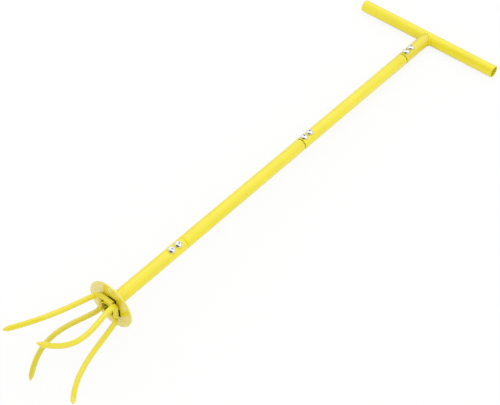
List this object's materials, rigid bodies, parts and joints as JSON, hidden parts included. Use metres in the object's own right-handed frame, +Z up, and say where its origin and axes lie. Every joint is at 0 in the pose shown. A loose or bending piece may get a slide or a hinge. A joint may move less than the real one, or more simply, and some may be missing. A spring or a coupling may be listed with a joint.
{
  "type": "twist tiller",
  "caption": "Standing hand tiller: a tubular T handle on a shaft that comes apart, with a round depth disc and curved tines that are pushed in and twisted.",
  "frame": {"origin": "middle of the tool's length and width, on the surface that it lies on", "axes": "+X from the tines to the cross handle, along the surface; +Y along the cross handle; +Z up, the side the screw heads face"},
  "size_m": [1.0668, 0.31, 0.1424],
  "materials": {
    "yellow_paint": "glossy powder coat",
    "zinc_plate": "bright zinc plating"
  },
  "bodies": {
    "root": {"cross_handle": "yellow_paint", "handle_socket": "yellow_paint", "handle_weld": "yellow_paint", "upper_shaft": "yellow_paint", "lower_shaft": "yellow_paint", "head_socket": "yellow_paint", "disc_weld": "yellow_paint", "depth_disc": "yellow_paint", "tine_1": "yellow_paint", "tine_2": "yellow_paint", "tine_3": "yellow_paint", "tine_4": "yellow_paint", "top_screw_1": "zinc_plate", "top_screw_2": "zinc_plate", "middle_screw_1": "zinc_plate", "middle_screw_2": "zinc_plate", "lower_screw_1": "zinc_plate", "lower_screw_2": "zinc_plate", "top_nut_1": "zinc_plate", "top_nut_2": "zinc_plate", "middle_nut_1": "zinc_plate", "middle_nut_2": "zinc_plate", "lower_nut_1": "zinc_plate", "lower_nut_2": "zinc_plate"}
  },
  "joints": []
}
